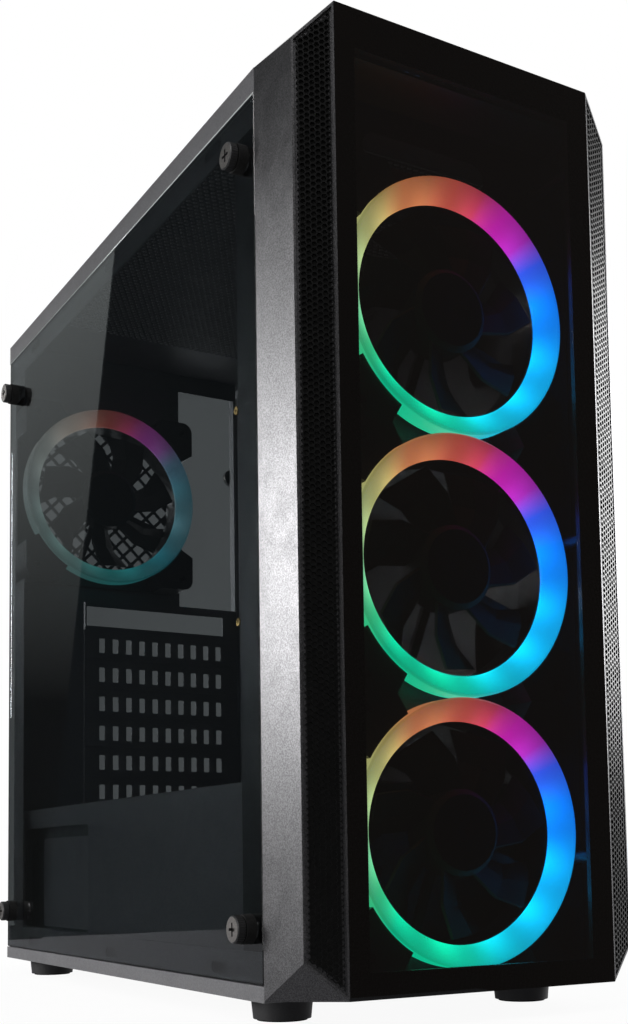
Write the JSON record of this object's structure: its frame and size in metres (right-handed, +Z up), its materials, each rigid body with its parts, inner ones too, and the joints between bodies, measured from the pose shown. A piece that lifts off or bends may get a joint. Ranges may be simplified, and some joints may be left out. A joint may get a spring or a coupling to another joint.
{
  "type": "desktop computer tower",
  "caption": "Upright steel computer case with a smoked side window, faceted front with mesh wings, lit ring fans and a shrouded power supply.",
  "frame": {"origin": "middle of the base, on the floor", "axes": "+Z up, front towards -Y, side window towards -X"},
  "size_m": [0.193, 0.4134, 0.4387],
  "materials": {
    "chassis_paint": "satin",
    "brass": "satin",
    "screw_zinc": "satin",
    "hub_plastic": "matte",
    "fan_black": "matte",
    "fan_blade": "gloss",
    "light_ring": "frosted",
    "psu_paint": "matte",
    "circuit_board": "satin",
    "socket_black": "matte",
    "rocker_plastic": "gloss",
    "foot_plastic": "matte",
    "rubber": "matte",
    "bezel_plastic": "satin",
    "smoked_acrylic": "gloss",
    "mesh_steel": "satin",
    "button_plastic": "gloss",
    "light_lens": "gloss",
    "port_steel": "satin",
    "smoked_glass": "gloss",
    "thumbscrew": "satin"
  },
  "bodies": {
    "chassis": {"bottom_pan": "chassis_paint", "drive_cage": "chassis_paint", "fan_hub": "hub_plastic", "fan_screws": "screw_zinc", "feet": "foot_plastic", "foot_pads": "rubber", "front_fan_1_frame": "fan_black", "front_fan_1_ring": "light_ring", "front_fan_2_frame": "fan_black", "front_fan_2_ring": "light_ring", "front_fan_3_frame": "fan_black", "front_fan_3_ring": "light_ring", "front_wall": "chassis_paint", "motherboard_tray": "chassis_paint", "psu_board": "circuit_board", "psu_case": "psu_paint", "psu_fan_frame": "fan_black", "psu_inlet": "socket_black", "psu_screws": "screw_zinc", "psu_shroud": "chassis_paint", "psu_switch": "socket_black", "rear_fan_frame": "fan_black", "rear_fan_grille": "chassis_paint", "rear_fan_ring": "light_ring", "rear_flange": "chassis_paint", "rear_rim": "chassis_paint", "rear_wall": "chassis_paint", "slot_covers": "chassis_paint", "slot_screws": "screw_zinc", "slot_shelf": "chassis_paint", "slot_wall": "chassis_paint", "standoffs": "brass", "top_panel": "chassis_paint", "top_vents": "chassis_paint", "window_nuts": "screw_zinc"},
    "bezel": {"front_bezel": "bezel_plastic", "front_panel": "smoked_acrylic", "mesh_left": "mesh_steel", "mesh_right": "mesh_steel", "io_board": "circuit_board", "status_lights": "light_lens", "usb_ports": "port_steel", "audio_jacks": "socket_black"},
    "power_button": {"power_button": "button_plastic"},
    "reset_button": {"reset_button": "button_plastic"},
    "window": {"glass_panel": "smoked_glass", "window_collars": "rubber"},
    "side_panel": {"right_panel": "chassis_paint"},
    "rocker": {"psu_rocker": "rocker_plastic"},
    "psu_rotor": {"psu_fan_rotor": "fan_blade"},
    "front_fan_1_rotor": {"front_fan_1_rotor": "fan_blade"},
    "front_fan_2_rotor": {"front_fan_2_rotor": "fan_blade"},
    "front_fan_3_rotor": {"front_fan_3_rotor": "fan_blade"},
    "rear_fan_rotor": {"rear_fan_rotor": "fan_blade"},
    "window_screw_1": {"window_screw_1": "thumbscrew"},
    "window_screw_2": {"window_screw_2": "thumbscrew"},
    "window_screw_3": {"window_screw_3": "thumbscrew"},
    "window_screw_4": {"window_screw_4": "thumbscrew"},
    "panel_screw_1": {"panel_screw_1": "thumbscrew"},
    "panel_screw_2": {"panel_screw_2": "thumbscrew"}
  },
  "joints": [
    {"name": "front_fan_1_spin", "type": "hinge", "parent": "chassis", "child": "front_fan_1_rotor", "pos_m": [0, -0.18315, 0.0816], "axis": [0, 1, 0], "continuous": true},
    {"name": "front_fan_2_spin", "type": "hinge", "parent": "chassis", "child": "front_fan_2_rotor", "pos_m": [0, -0.18315, 0.2017], "axis": [0, 1, 0], "continuous": true},
    {"name": "front_fan_3_spin", "type": "hinge", "parent": "chassis", "child": "front_fan_3_rotor", "pos_m": [0, -0.18315, 0.3218], "axis": [0, 1, 0], "continuous": true},
    {"name": "rear_fan_spin", "type": "hinge", "parent": "chassis", "child": "rear_fan_rotor", "pos_m": [-0.0244, 0.17895, 0.3216], "axis": [0, 1, 0], "continuous": true},
    {"name": "psu_fan_spin", "type": "hinge", "parent": "chassis", "child": "psu_rotor", "pos_m": [0.003, 0.12195, 0.0265], "axis": [0, 0, 1], "continuous": true},
    {"name": "bezel_pull", "type": "slide", "parent": "chassis", "child": "bezel", "axis": [0, -1, 0], "range_m": [0, 0.06]},
    {"name": "power_press", "type": "slide", "parent": "bezel", "child": "power_button", "axis": [0, -0.2832, -0.9591], "range_m": [0, 0.0012], "stiffness_N_per_m": 800, "springref_m": -0.0004},
    {"name": "reset_press", "type": "slide", "parent": "bezel", "child": "reset_button", "axis": [0, -0.2832, -0.9591], "range_m": [0, 0.001], "stiffness_N_per_m": 800, "springref_m": -0.0004},
    {"name": "window_pull", "type": "slide", "parent": "chassis", "child": "window", "axis": [-1, 0, 0], "range_m": [0, 0.12]},
    {"name": "side_panel_slide", "type": "slide", "parent": "chassis", "child": "side_panel", "axis": [0, 1, 0], "range_m": [0, 0.012]},
    {"name": "window_screw_1_turn", "type": "hinge", "parent": "window", "child": "window_screw_1", "pos_m": [-0.094, -0.15265, 0.041], "axis": [-1, 0, 0], "continuous": true},
    {"name": "window_screw_2_turn", "type": "hinge", "parent": "window", "child": "window_screw_2", "pos_m": [-0.094, 0.18735, 0.041], "axis": [-1, 0, 0], "continuous": true},
    {"name": "window_screw_3_turn", "type": "hinge", "parent": "window", "child": "window_screw_3", "pos_m": [-0.094, -0.15265, 0.3885], "axis": [-1, 0, 0], "continuous": true},
    {"name": "window_screw_4_turn", "type": "hinge", "parent": "window", "child": "window_screw_4", "pos_m": [-0.094, 0.18735, 0.3885], "axis": [-1, 0, 0], "continuous": true},
    {"name": "panel_screw_1_turn", "type": "hinge", "parent": "side_panel", "child": "panel_screw_1", "pos_m": [0.08407, 0.20435, 0.071], "axis": [0, 1, 0], "continuous": true},
    {"name": "panel_screw_2_turn", "type": "hinge", "parent": "side_panel", "child": "panel_screw_2", "pos_m": [0.08407, 0.20435, 0.3585], "axis": [0, 1, 0], "continuous": true},
    {"name": "rocker_tilt", "type": "hinge", "parent": "chassis", "child": "rocker", "pos_m": [0, 0.18795, 0.0725], "axis": [1, 0, 0], "range_deg": [0, 18]}
  ]
}
